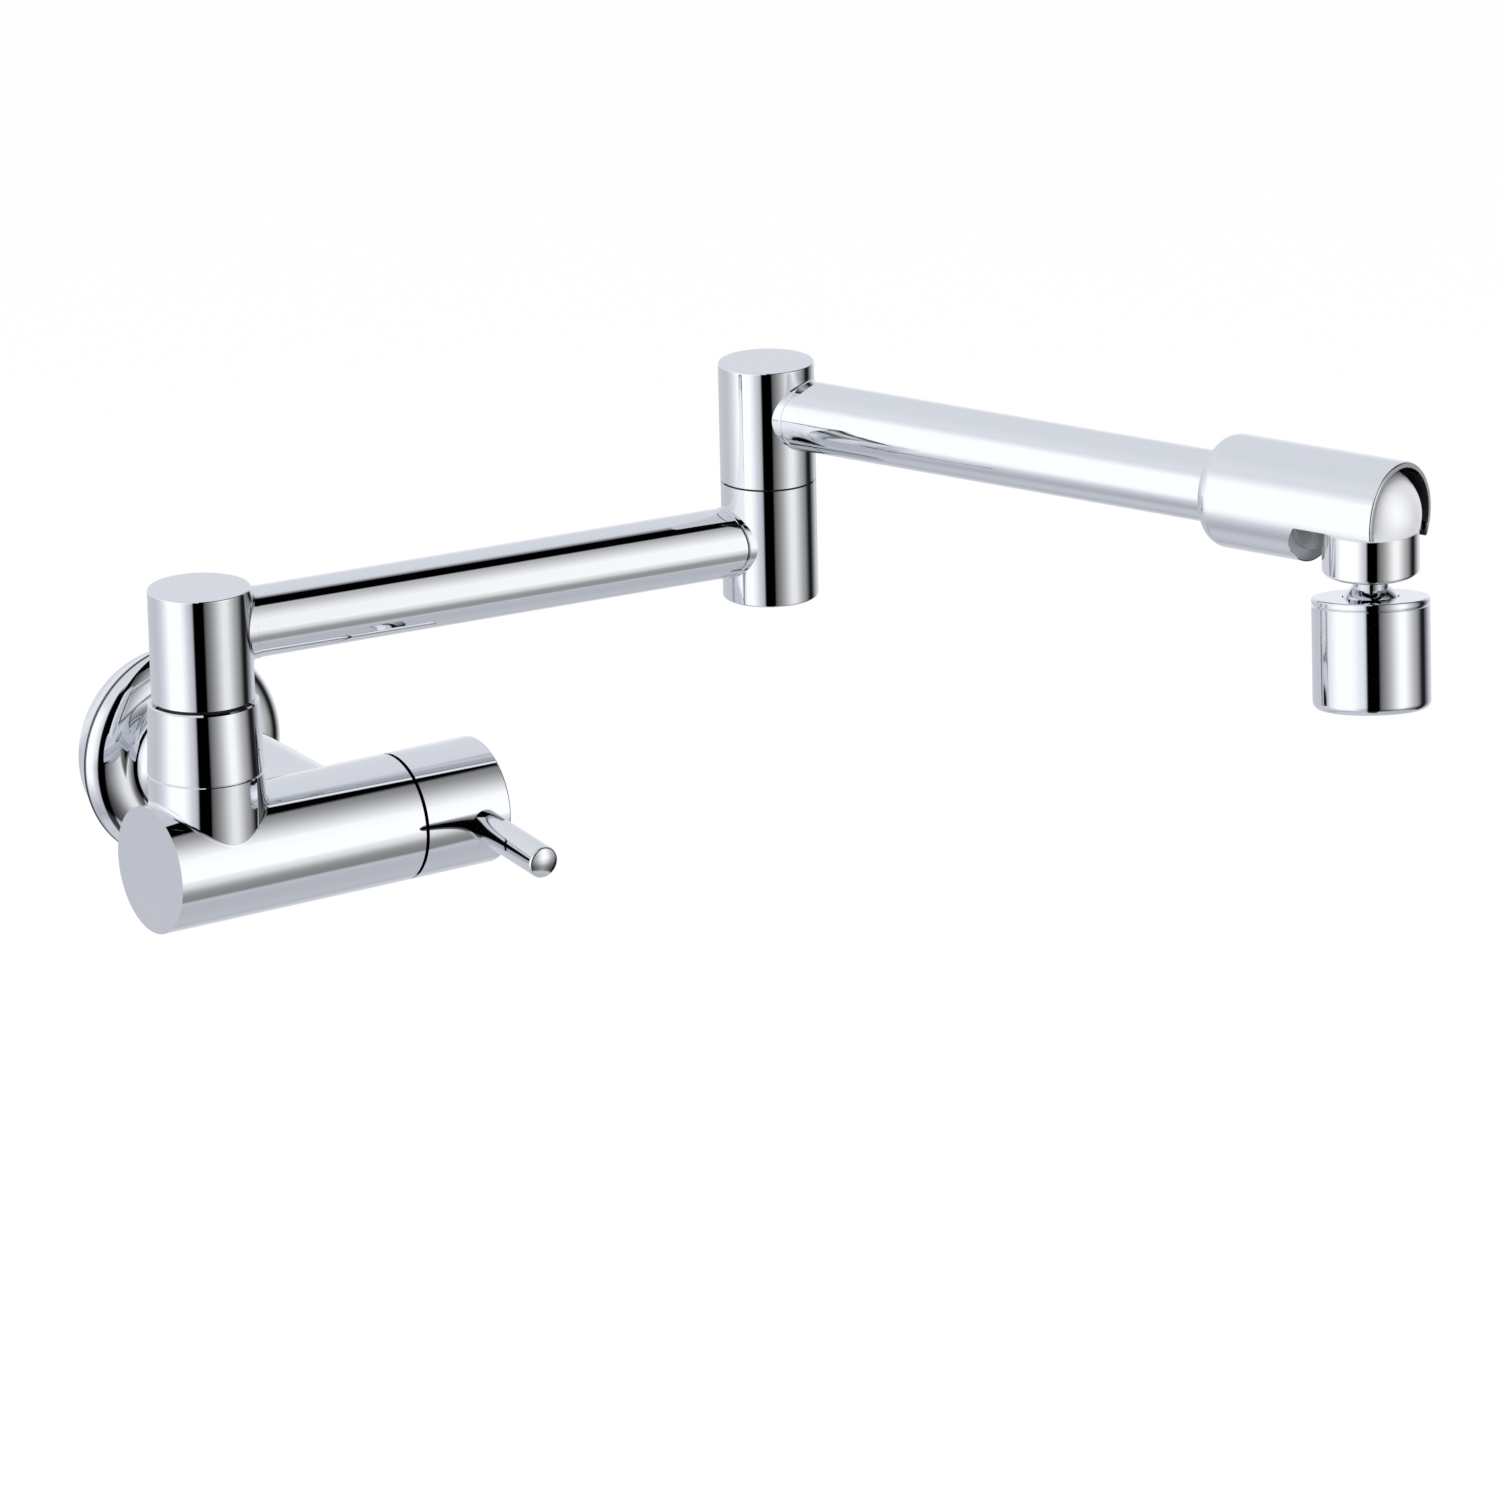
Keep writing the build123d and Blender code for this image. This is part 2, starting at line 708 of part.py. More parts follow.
screw_line = Plane(
    origin=elbow_axis_foot + Vector(0, 0, screw_place),
    x_dir=(0, 0, 1),
    z_dir=-arm_2_dir,
)
with BuildPart() as upper_elbow:
    sleeve(elbow_line, elbow_radius, upper_foot, elbow_top, arm_2_line, elbow_mouth_round)
    fillet(upper_elbow.edges().filter_by(GeomType.CIRCLE).sort_by(Axis.Z)[-1], edge_round)
    bar(
        elbow_line,
        elbow_spigot_radius + running_clearance,
        upper_foot,
        elbow_spigot_top + face_gap,
        Mode.SUBTRACT,
    )
    bar(elbow_line, elbow_chamber_radius, upper_foot, elbow_top - elbow_end_wall, Mode.SUBTRACT)
    bar(arm_2_line, arm_water_radius, 0, elbow_radius, Mode.SUBTRACT)
    bar(screw_line, set_screw_radius + seated_clearance, 0, elbow_radius, Mode.SUBTRACT)

with BuildPart() as elbow_set_screw:
    bar(
        screw_line,
        set_screw_radius,
        screw_groove_floor + set_screw_play,
        elbow_radius - set_screw_radius / 2,
    )

tip_back = arm_2_length + tip_beyond_axis - tip_length
tip_front = arm_2_length + tip_beyond_axis
socket_end = tip_back + tip_socket_length
with BuildPart() as arm_2_tube:
    tube(arm_2_line, tube_radius, tube_radius - tube_wall, 0, socket_end)
    bar(elbow_line, elbow_radius - tube_pocket + seated_clearance, 0, 2 * elbow_top, Mode.SUBTRACT)

# Slotted sleeve, with the plate and nozzle that feed the ball outlet

tube_ring_place = socket_end - tube_ring_from_end
tube_ring_outer = tube_radius + tube_ring_section
plate_start = arm_2_length - tip_seat_behind_axis
ball_bore_start = arm_2_length - tip_bore_behind_axis
ball_bore_radius = ball_radius + swing_clearance
tube_groove_outer = tube_ring_outer + 2 * seated_clearance
tube_groove_start = tube_ring_place - tube_ring_section / 2 - ring_groove_play
tube_groove_end = tube_ring_place + tube_ring_section / 2 + ring_groove_play
slot_length = slot_behind_axis + tip_beyond_axis + 2 * slot_corner
slot_middle = (tip_beyond_axis - slot_behind_axis) / 2 + slot_corner
with BuildPart() as tip_sleeve:
    bar(arm_2_line, tip_radius, tip_back, tip_front)
    sleeve_ends = tip_sleeve.edges().filter_by(GeomType.CIRCLE).sort_by(Axis(arm_2_line.origin, arm_2_dir))
    fillet(sleeve_ends[0], tip_shoulder_round)
    fillet(sleeve_ends[-1], tip_edge_round)
    bar(arm_2_line, tube_radius + seated_clearance, tip_back, socket_end, Mode.SUBTRACT)
    bar(arm_2_line, tip_water_radius, socket_end, plate_start, Mode.SUBTRACT)
    bar(arm_2_line, plate_radius + seated_clearance, plate_start, ball_bore_start, Mode.SUBTRACT)
    bar(arm_2_line, ball_bore_radius, ball_bore_start, tip_front, Mode.SUBTRACT)
    # Groove for the ring that seals the tube
    turned(
        arm_2_line,
        (tube_radius - cut_over, tube_groove_start),
        (tube_groove_outer, tube_groove_start),
        (tube_groove_outer, tube_groove_end),
        (tube_radius - cut_over, tube_groove_end),
        mode=Mode.SUBTRACT,
    )
    # Slot under the ball, open to the front, with rounded back corners
    with BuildSketch(slot_line.offset(-cheek_drop)):
        with Locations((slot_middle, 0)):
            slot_plan = Rectangle(slot_length, 2 * slot_half_width)
        fillet(slot_plan.vertices(), slot_corner)
    extrude(amount=-2 * tip_radius, mode=Mode.SUBTRACT)
    # The lower cheek is cut back straight, so the neck of the ball swings past it
    with BuildSketch(ball_line):
        with Locations((slot_middle, 0)):
            neck_plan = Rectangle(slot_length, 2 * (ball_neck_radius + swing_clearance))
        fillet(neck_plan.vertices(), slot_corner)
    extrude(amount=-2 * tip_radius, mode=Mode.SUBTRACT)

with BuildPart() as tube_o_ring:
    rubber_ring(arm_2_line, tube_radius + seated_clearance, tube_ring_section, tube_ring_place)

plate_ring_place = plate_start + plate_ring_inset
plate_end = plate_start + plate_thickness
with BuildPart() as nozzle_plate:
    tube(arm_2_line, plate_radius, nozzle_radius + seated_clearance, plate_start, plate_end)
    plate_ring_floor = ring_groove(arm_2_line, plate_radius, plate_ring_section, plate_ring_place)

with BuildPart() as plate_o_ring:
    rubber_ring(arm_2_line, plate_ring_floor, plate_ring_section, plate_ring_place)

port_dir = arm_2_dir * math.cos(math.radians(nozzle_port_angle))
port_dir -= Vector(0, 0, 1) * math.sin(math.radians(nozzle_port_angle))
port_line = Plane(origin=ball_centre, x_dir=pivot_dir, z_dir=port_dir)
pivot_floor = pivot_start - pivot_end_play
pivot_end = pivot_start + pivot_length
with BuildPart() as feed_nozzle:
    bar(arm_2_line, nozzle_radius, plate_start, arm_2_length)
    with Locations(ball_centre):
        Sphere(nozzle_ball_radius)
    bar(arm_2_line, nozzle_bore_radius, plate_start, arm_2_length, Mode.SUBTRACT)
    # Outlet halfway between down and ahead, so the seal surrounds it over the whole swing
    with BuildSketch(port_line):
        SlotOverall(nozzle_port_width, nozzle_port_height)
    extrude(amount=2 * nozzle_ball_radius, mode=Mode.SUBTRACT)
    # Bearing holes for the two pivots of the outlet
    bar(pivot_line, pivot_radius + running_clearance, pivot_floor, pivot_end, Mode.SUBTRACT)
    bar(pivot_line, pivot_radius + running_clearance, -pivot_end, -pivot_floor, Mode.SUBTRACT)

# Ball outlet, pivots and ball stud

stud_thread_top = ball_neck_drop - stud_thread_length
washer_top = stud_thread_top - stud_washer_thickness
ball_chamber_radius = nozzle_ball_radius + ball_chamber_gap
nozzle_slot = nozzle_radius + nozzle_slot_gap
with BuildPart() as outlet_ball:
    with Locations(ball_centre):
        Sphere(ball_radius)
    bar(ball_line, ball_neck_radius, -ball_neck_drop, 0)
    fillet(outlet_ball.edges().filter_by(GeomType.CIRCLE).sort_by(Axis.Z)[0], ball_neck_round)
    bar(ball_line, stud_thread_radius + seated_clearance, -ball_neck_drop, -washer_top, Mode.SUBTRACT)
    bar(ball_line, ball_chamber_radius, -washer_top, ball_chamber_radius, Mode.SUBTRACT)
    # Slot from the back to the top, which passes the nozzle while the outlet swings forward
    with BuildSketch(pivot_line):
        with BuildLine():
            Polyline(
                (-nozzle_slot, -nozzle_slot),
                (2 * ball_radius, -nozzle_slot),
                (2 * ball_radius, 2 * ball_radius),
                (-nozzle_slot, 2 * ball_radius),
                close=True,
            )
        make_face()
    extrude(amount=nozzle_slot, both=True, mode=Mode.SUBTRACT)
    bar(pivot_line, pivot_radius + seated_clearance, -2 * ball_radius, 2 * ball_radius, Mode.SUBTRACT)

with BuildPart() as ball_seal:
    # Seal ring with a hollow top face that rides on the nozzle's ball
    tube(
        ball_line,
        ball_chamber_radius - seated_clearance,
        seal_bore_radius,
        -washer_top,
        -nozzle_radius - nozzle_slot_gap,
    )
    with Locations(ball_centre):
        Sphere(nozzle_ball_radius + running_clearance, mode=Mode.SUBTRACT)

with BuildPart() as pivot_pins:
    bar(pivot_line, pivot_radius, pivot_start, pivot_end)
    bar(pivot_line, pivot_radius, -pivot_end, -pivot_start)

with BuildPart() as ball_stud:
    bar(ball_line, stud_thread_radius, -ball_neck_drop, -stud_thread_top)
    bar(ball_line, stud_waist_radius, -stud_ball_drop, -ball_neck_drop)
    with Locations(stud_centre):
        Sphere(stud_ball_radius)
    bar(ball_line, stud_bore_radius, -stud_ball_drop - stud_ball_radius, -stud_thread_top, Mode.SUBTRACT)

with BuildPart() as stud_washer:
    tube(ball_line, stud_thread_radius - edge_round, stud_washer_bore_radius, -stud_thread_top, -washer_top)

# Swivel ring between the ball stud and the aerator

swivel_outer = stud_ball_radius + running_clearance + swivel_ring_wall
with BuildPart() as swivel_ring:
    with Locations(stud_centre):
        Sphere(swivel_outer)
    bar(stud_line, 2 * swivel_outer, swivel_ring_bottom, swivel_ring_top, Mode.INTERSECT)
    with Locations(stud_centre):
        Sphere(stud_ball_radius + running_clearance, mode=Mode.SUBTRACT)

# Aerator: cap, shell, cup and flow insert

cup_top = aerator_seam - cap_skirt
aerator_foot = aerator_top - aerator_length
insert_foot = aerator_foot + aerator_lip
with BuildPart() as aerator_cap:
    bar(aerator_line, aerator_radius, aerator_seam, aerator_top)
    cap_edges = aerator_cap.edges().filter_by(GeomType.CIRCLE).sort_by(Axis(stud_centre, aerator_axis))
    fillet(cap_edges[-1], edge_round)
    chamfer(cap_edges[0], seam_chamfer)
    bar(aerator_line, aerator_bore_radius - seated_clearance, cup_top, aerator_seam)
    with Locations(stud_centre):
        Sphere(stud_ball_radius + cap_clearance, mode=Mode.SUBTRACT)
    bar(aerator_line, swivel_outer, cup_top - cut_over, -cap_clearance, Mode.SUBTRACT)

with BuildPart() as aerator_shell:
    bar(aerator_line, aerator_radius, aerator_foot, aerator_seam - face_gap)
    shell_edges = aerator_shell.edges().filter_by(GeomType.CIRCLE).sort_by(Axis(stud_centre, aerator_axis))
    fillet(shell_edges[0], aerator_edge_round)
    chamfer(shell_edges[-1], seam_chamfer)
    bar(aerator_line, aerator_mouth_radius, aerator_foot, insert_foot, Mode.SUBTRACT)
    bar(aerator_line, aerator_bore_radius, insert_foot, aerator_seam, Mode.SUBTRACT)

with BuildPart() as aerator_cup:
    tube(
        aerator_line,
        aerator_bore_radius - seated_clearance,
        cup_bore_radius,
        cup_floor,
        cup_top - face_gap,
    )
    with Locations(stud_centre):
        Sphere(swivel_outer + cap_clearance, mode=Mode.SUBTRACT)

with BuildPart() as aerator_insert:
    bar(aerator_line, aerator_bore_radius - seated_clearance, insert_foot, cup_floor - face_gap)
    with BuildSketch(aerator_line.offset(insert_foot)):
        Circle(insert_hole_radius)
        for ring_number in range(1, insert_hole_rings + 1):
            hole_count = ring_number * insert_holes_in_first_ring
            with PolarLocations(ring_number * insert_hole_spacing, hole_count):
                Circle(insert_hole_radius)
    extrude(amount=cup_floor - insert_foot, mode=Mode.SUBTRACT)

pieces = {
    "wall_gasket": wall_gasket,
    "wall_flange": wall_flange,
    "flange_o_ring": flange_o_ring,
    "valve_body": valve_body,
    "inlet_strainer": inlet_strainer,
    "cartridge_seal": cartridge_seal,
    "fixed_disc": fixed_disc,
    "cartridge_housing": cartridge_housing,
    "housing_o_ring": housing_o_ring,
    "collar_nut": collar_nut,
    "split_ring": split_ring,
    "post_washer": post_washer,
    "handle_hub": handle_hub,
    "lever_rod": lever_rod,
    "hub_grub_screw": hub_grub_screw,
    "spindle": spindle,
    "moving_disc": moving_disc,
    "spindle_o_ring": spindle_o_ring,
    "spindle_clip": spindle_clip,
    "post_sleeve": post_sleeve,
    "post_spigot": post_spigot,
    "post_o_rings": post_o_rings,
    "arm_1_tube": arm_1_tube,
    "lower_elbow": lower_elbow,
    "elbow_spigot": elbow_spigot,
    "elbow_o_rings": elbow_o_rings,
    "elbow_washer": elbow_washer,
    "upper_elbow": upper_elbow,
    "elbow_set_screw": elbow_set_screw,
    "arm_2_tube": arm_2_tube,
    "tube_o_ring": tube_o_ring,
    "tip_sleeve": tip_sleeve,
    "nozzle_plate": nozzle_plate,
    "plate_o_ring": plate_o_ring,
    "feed_nozzle": feed_nozzle,
    "outlet_ball": outlet_ball,
    "ball_seal": ball_seal,
    "pivot_pins": pivot_pins,
    "ball_stud": ball_stud,
    "stud_washer": stud_washer,
    "swivel_ring": swivel_ring,
    "aerator_cap": aerator_cap,
    "aerator_shell": aerator_shell,
    "aerator_cup": aerator_cup,
    "aerator_insert": aerator_insert,
}

os.makedirs("parts", exist_ok=True)
for name, piece in pieces.items():
    piece.part.label = name
    export_step(piece.part, f"parts/{name}.step")
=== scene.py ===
"""Looks of the folding wall faucet: polished chrome over its solids, a studio around it and the camera."""
import json
import math

import bmesh
import bpy
import numpy as np
from mathutils import Matrix, Vector


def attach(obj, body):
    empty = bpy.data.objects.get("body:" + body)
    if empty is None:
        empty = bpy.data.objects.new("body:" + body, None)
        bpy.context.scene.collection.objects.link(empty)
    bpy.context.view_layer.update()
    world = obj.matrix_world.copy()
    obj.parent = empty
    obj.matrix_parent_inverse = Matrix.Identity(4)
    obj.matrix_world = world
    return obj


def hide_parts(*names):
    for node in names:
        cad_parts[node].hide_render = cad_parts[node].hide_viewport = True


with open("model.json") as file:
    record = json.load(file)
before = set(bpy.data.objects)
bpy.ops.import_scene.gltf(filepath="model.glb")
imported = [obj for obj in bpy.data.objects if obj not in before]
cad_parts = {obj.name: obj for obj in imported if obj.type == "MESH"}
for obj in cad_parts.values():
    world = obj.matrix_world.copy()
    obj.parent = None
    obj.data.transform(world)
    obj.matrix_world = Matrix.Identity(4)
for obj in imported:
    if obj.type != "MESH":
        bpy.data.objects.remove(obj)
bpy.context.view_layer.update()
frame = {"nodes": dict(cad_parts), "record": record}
scene = bpy.context.scene
scene.view_settings.view_transform = "Standard"
mm_per_m = 1000
joint_place = {joint["name"]: Vector(joint["pos_m"]) for joint in frame["record"]["behaviour"]["joints"]}


# Colour and node helpers

def linear(code):
    """Linear colour of an sRGB hex value."""
    parts = np.array([int(code[i:i + 2], 16) for i in (1, 3, 5)]) / 255
    return (*np.where(parts <= 0.04045, parts / 12.92, ((parts + 0.055) / 1.055) ** 2.4).tolist(), 1.0)


def add(tree, kind, links=(), inputs=(), **settings):
    """Adds one node: settings are its properties, inputs its socket values, links its sockets' sources."""
    node = tree.nodes.new(kind)
    for key, value in settings.items():
        setattr(node, key, value)
    for key, value in dict(inputs).items():
        node.inputs[key].default_value = value
    for key, source in dict(links).items():
        tree.links.new(node.inputs[key], source)
    return node


# Materials

def surface(name, colour, metallic, roughness, rough_spread, grain_mm, wave_mm, wave_height_mm, tint):
    """One procedural finish on Object coordinates.

    Roughness swings by rough_spread over blotches of grain_mm, and the colour darkens by tint in them.
    The surface rises and falls by wave_height_mm over waves of wave_mm.
    """
    blotch_detail = 4.0
    wave_detail = 2.0
    material = bpy.data.materials.new(name)
    material.use_nodes = True
    tree = material.node_tree
    shader = tree.nodes["Principled BSDF"]
    place = add(tree, "ShaderNodeTexCoord")
    blotch = add(tree, "ShaderNodeTexNoise", {"Vector": place.outputs["Object"]},
                 {"Scale": mm_per_m / grain_mm, "Detail": blotch_detail})
    rough = add(tree, "ShaderNodeMapRange", {"Value": blotch.outputs["Fac"]},
                {"To Min": roughness - rough_spread, "To Max": roughness + rough_spread})
    wave = add(tree, "ShaderNodeTexNoise", {"Vector": place.outputs["Object"]},
               {"Scale": mm_per_m / wave_mm, "Detail": wave_detail})
    bump = add(tree, "ShaderNodeBump", {"Height": wave.outputs["Fac"]},
               {"Strength": 1.0, "Distance": wave_height_mm / mm_per_m})
    clean = linear(colour)
    dark = [channel * (1 - tint) for channel in clean[:3]] + [1.0]
    shade = add(tree, "ShaderNodeMix", {"Factor": blotch.outputs["Fac"]}, {"A": dark, "B": clean},
                data_type="RGBA")
    tree.links.new(shader.inputs["Base Color"], shade.outputs["Result"])
    tree.links.new(shader.inputs["Roughness"], rough.outputs["Result"])
    tree.links.new(shader.inputs["Normal"], bump.outputs["Normal"])
    shader.inputs["Metallic"].default_value = metallic
    return material


# Bright chrome plate on buffed brass: a mirror with the faint swell that buffing leaves
buffed = {"metallic": 1.0, "roughness": 0.035, "rough_spread": 0.015, "grain_mm": 9.0, "wave_mm": 14.0,
          "wave_height_mm": 0.0016, "tint": 0.03}
finishes = {
    "chrome": surface("polished_chrome_plate", "#E6E8EC", **buffed),
    # Turned brass: warm, with fine tool marks
    "brass": surface("turned_brass", "#C9A45C", metallic=1.0, roughness=0.28, rough_spread=0.08,
                     grain_mm=1.2, wave_mm=0.8, wave_height_mm=0.01, tint=0.15),
    # Stainless screws and pins: dull bright steel
    "steel": surface("plain_stainless_steel", "#A9AAAD", metallic=1.0, roughness=0.3, rough_spread=0.08,
                     grain_mm=1.5, wave_mm=1.0, wave_height_mm=0.01, tint=0.1),
    # Satin nickel on the plate in the slotted tip: pale, with a soft sheen
    "plate": surface("satin_nickel_plate", "#DADADB", metallic=1.0, roughness=0.42, rough_spread=0.06,
                     grain_mm=1.5, wave_mm=1.0, wave_height_mm=0.006, tint=0.06),
    # Silicone ring behind that plate: milky grey
    "silicone": surface("moulded_silicone", "#C4C5C8", metallic=0.0, roughness=0.5, rough_spread=0.08,
                        grain_mm=2.0, wave_mm=0.7, wave_height_mm=0.01, tint=0.08),
    # Turned line in the flange: dark dull metal as painted shade in the groove
    "line": surface("painted_groove_shade", "#94969A", metallic=1.0, roughness=0.45, rough_spread=0.08,
                    grain_mm=1.0, wave_mm=0.8, wave_height_mm=0.006, tint=0.15),
    # Moulded sealing rubber: black with a dusty bloom
    "rubber": surface("moulded_black_rubber", "#1C1C1D", metallic=0.0, roughness=0.65, rough_spread=0.12,
                      grain_mm=2.0, wave_mm=0.7, wave_height_mm=0.02, tint=0.3),
    # Bearing acetal: black, slightly waxy
    "acetal": surface("black_acetal", "#2A2A2C", metallic=0.0, roughness=0.42, rough_spread=0.08,
                      grain_mm=3.0, wave_mm=1.5, wave_height_mm=0.01, tint=0.2),
    # Moulded flow straightener: mid-grey plastic
    "insert": surface("moulded_grey_acetal", "#6A6C70", metallic=0.0, roughness=0.4, rough_spread=0.1,
                      grain_mm=2.0, wave_mm=1.0, wave_height_mm=0.02, tint=0.12),
    # Lapped ceramic discs: pale, glassy
    "ceramic": surface("lapped_alumina", "#ECEAE4", metallic=0.0, roughness=0.18, rough_spread=0.05,
                       grain_mm=4.0, wave_mm=2.0, wave_height_mm=0.004, tint=0.04),
    # Chrome on the tip's sleeve: polished outside, and cut as bore_and_slot says
    "sleeve": surface("milled_chrome_plate", "#E6E8EC", **buffed),
    # Chrome on the outlet's ball, paler than the other chrome: polished on the neck; on the dome satin, where a
    # pale matt share of the finish is painted reflection, as set below
    "ball": surface("chrome_with_painted_dome_reflection", "#F5F6F8", **buffed),
}

# Slotted sleeve: its axis from the elbow to the tip
tip_place = joint_place["spout_swing"]
elbow_place = joint_place["arm_2_swing"].copy()
elbow_place.z = tip_place.z
sleeve_axis = (tip_place - elbow_place).normalized()
# Its radii and distances from the tip's axis, and how sharply the finishes meet
tip_radius_mm = 17.45
tip_front_mm = 10.8
ball_bore_mm = 15.65
slot_back_mm = 17.0
skin_edge_mm = 0.2
slot_edge_mm = 0.5
fine_edge_mm = 0.05
slot_satin = 0.42
face_satin = 0.65
# Painted shade: the colour that darkens the bore round the ball
bore_painted_shade = "#3A3B3E"


def bore_and_slot(material):
    """Makes a polished finish that of a sleeve which was bored, slotted and faced.

    A point's distance along the sleeve's axis, from the tip, and away from it tells the cuts apart.
    The slot's back wall and the end face are satin. The bore round the ball is darkened with painted shade.
    """
    tree = material.node_tree
    shader = tree.nodes["Principled BSDF"]
    polished = shader.inputs["Roughness"].links[0].from_socket
    plated = shader.inputs["Base Color"].links[0].from_socket
    place = add(tree, "ShaderNodeTexCoord")
    offset = add(tree, "ShaderNodeVectorMath", {0: place.outputs["Object"]}, {1: tip_place},
                 operation="SUBTRACT").outputs["Vector"]
    along = add(tree, "ShaderNodeVectorMath", {0: offset}, {1: sleeve_axis}, operation="DOT_PRODUCT")
    aside = add(tree, "ShaderNodeVectorMath", {0: offset}, {1: sleeve_axis}, operation="CROSS_PRODUCT")
    away = add(tree, "ShaderNodeVectorMath", {0: aside.outputs["Vector"]}, operation="LENGTH")
    # Each zone goes from its first value to its second over a width that starts at one distance
    zones = {}
    for zone, measure, start_mm, width_mm, first, second in (
            ("under the skin", away, tip_radius_mm - 2 * skin_edge_mm, skin_edge_mm, slot_satin, 0.0),
            ("behind the slot", along, -slot_back_mm - slot_edge_mm, slot_edge_mm, 1.0, 0.0),
            ("beside the ball", along, -slot_back_mm - slot_edge_mm, slot_edge_mm, 0.0, 1.0),
            ("end face", along, tip_front_mm - 2 * fine_edge_mm, fine_edge_mm, 0.0, face_satin),
            ("in the bore", away, ball_bore_mm + fine_edge_mm, 2 * fine_edge_mm, 1.0, 0.0)):
        zones[zone] = add(tree, "ShaderNodeMapRange", {"Value": measure.outputs["Value"]}, {
            "From Min": start_mm / mm_per_m, "From Max": (start_mm + width_mm) / mm_per_m,
            "To Min": first, "To Max": second}).outputs["Result"]
    slot_wall = add(tree, "ShaderNodeMath", {0: zones["under the skin"], 1: zones["behind the slot"]},
                    operation="MULTIPLY")
    cuts = add(tree, "ShaderNodeMath", {0: slot_wall.outputs["Value"], 1: zones["end face"]},
               operation="MAXIMUM")
    rough = add(tree, "ShaderNodeMath", {0: polished, 1: cuts.outputs["Value"]}, operation="MAXIMUM")
    bore = add(tree, "ShaderNodeMath", {0: zones["in the bore"], 1: zones["beside the ball"]},
               operation="MULTIPLY")
    shade = add(tree, "ShaderNodeMix", {"Factor": bore.outputs["Value"], "A": plated},
                {"B": linear(bore_painted_shade)}, data_type="RGBA")
    tree.links.new(shader.inputs["Roughness"], rough.outputs["Value"])
    tree.links.new(shader.inputs["Base Color"], shade.outputs["Result"])


# Ball of the outlet: the height in millimetres at which its dome meets the neck, and the dome's look
neck_top_mm = 109.6
dome_edge_mm = 0.2
dome_satin = 0.42
# Share of the dome that stays metal; the rest is pale matt colour, painted reflection
dome_metal_share = 0.35


def paint_dome_reflection(material):
    """Makes a polished finish satin above the neck, with painted reflection there.

    Above the neck only a share of the finish is metal; the rest shows the pale base colour as matt paint, a
    painted reflection.
    """
    tree = material.node_tree
    shader = tree.nodes["Principled BSDF"]
    polished = shader.inputs["Roughness"].links[0].from_socket
    edge = {"From Min": (neck_top_mm - dome_edge_mm) / mm_per_m,
            "From Max": (neck_top_mm + dome_edge_mm) / mm_per_m}
    place = add(tree, "ShaderNodeTexCoord")
    spot = add(tree, "ShaderNodeSeparateXYZ", {"Vector": place.outputs["Object"]})
    satin = add(tree, "ShaderNodeMapRange", {"Value": spot.outputs["Z"]},
                {**edge, "To Min": 0.0, "To Max": dome_satin})
    rough = add(tree, "ShaderNodeMath", {0: polished, 1: satin.outputs["Result"]}, operation="MAXIMUM")
    metal_part = add(tree, "ShaderNodeMapRange", {"Value": spot.outputs["Z"]},
               {**edge, "To Min": 1.0, "To Max": dome_metal_share})
    tree.links.new(shader.inputs["Roughness"], rough.outputs["Value"])
    tree.links.new(shader.inputs["Metallic"], metal_part.outputs["Result"])


bore_and_slot(finishes["sleeve"])
paint_dome_reflection(finishes["ball"])

# Each solid wears its slot's finish, apart from four pieces of the tip with one of their own
finish_of = {entry["node"]: entry["material_slot"] for entry in frame["record"]["subparts"]}
finish_of.update(outlet_ball="ball", tip_sleeve="sleeve", nozzle_plate="plate", plate_o_ring="silicone")
for name, node in frame["nodes"].items():
    node.data.materials.clear()
    node.data.materials.append(finishes[finish_of[name]])


# Turned pieces

def turned_piece(name, foot, axis, profile_mm, steps, closed):
    """Piece turned about an axis from a profile of (radius, distance from the foot) points in millimetres.

    A point at radius r and distance d stands, at the angle t round the axis, at
    foot + d axis + r (cos t right + sin t up), where right is +X and up is square to both.
    A closed profile makes a ring. An open one starts and ends on the axis, where its points are merged.
    """
    merge_reach = 1e-7
    crease_angle = math.radians(30)
    radius, distance = np.asarray(profile_mm).T[..., None] / mm_per_m
    angle = np.linspace(0, 2 * np.pi, steps, endpoint=False)[:, None, None]
    right = np.array([1.0, 0.0, 0.0])
    up = np.cross(axis, right)
    points = foot + distance * axis + radius * (np.cos(angle) * right + np.sin(angle) * up)
    count = len(radius)
    row, column = np.meshgrid(np.arange(steps), np.arange(count if closed else count - 1), indexing="ij")
    next_row, next_column = (row + 1) % steps, (column + 1) % count
    corners = [row * count + column, next_row * count + column, next_row * count + next_column,
               row * count + next_column]
    mesh = bpy.data.meshes.new(name)
    mesh.from_pydata(points.reshape(-1, 3).tolist(), [], np.stack(corners, -1).reshape(-1, 4).tolist())
    if not closed:
        shell = bmesh.new()
        shell.from_mesh(mesh)
        bmesh.ops.remove_doubles(shell, verts=shell.verts, dist=merge_reach)
        shell.to_mesh(mesh)
        shell.free()
    mesh.shade_smooth()
    mesh.set_sharp_from_angle(angle=crease_angle)
    piece = bpy.data.objects.new(name, mesh)
    scene.collection.objects.link(piece)
    return piece


def ellipse_arc(centre, across, along, start, end, count):
    """Points of an ellipse round (radius, distance), from one angle off the axis to another, in degrees."""
    angle = np.radians(np.linspace(start, end, count))
    return np.c_[centre[0] + across * np.sin(angle), centre[1] + along * np.cos(angle)]


# Wall flange: a spun bell that widens from the wall and domes in to a collar round the neck

# Radii and distances from the wall, in millimetres
bell_back_radius = 31.3
bell_start = 1.2
bell_radius = 35.5
bell_widest = 12.0
bell_sheet = 1.2
flare_power = 1.7
dome_rise = 7.0
collar_radius = 18.25
collar_round = 6.0
neck_hole_radius = 17.3
line_start = 12.2
line_width = 1.0
line_depth = 0.35
# Points along the side, the dome, the collar's root and the inside, and steps round the axis
side_points, dome_points, root_points, inner_points = 60, 91, 24, 40
flange_steps = 240

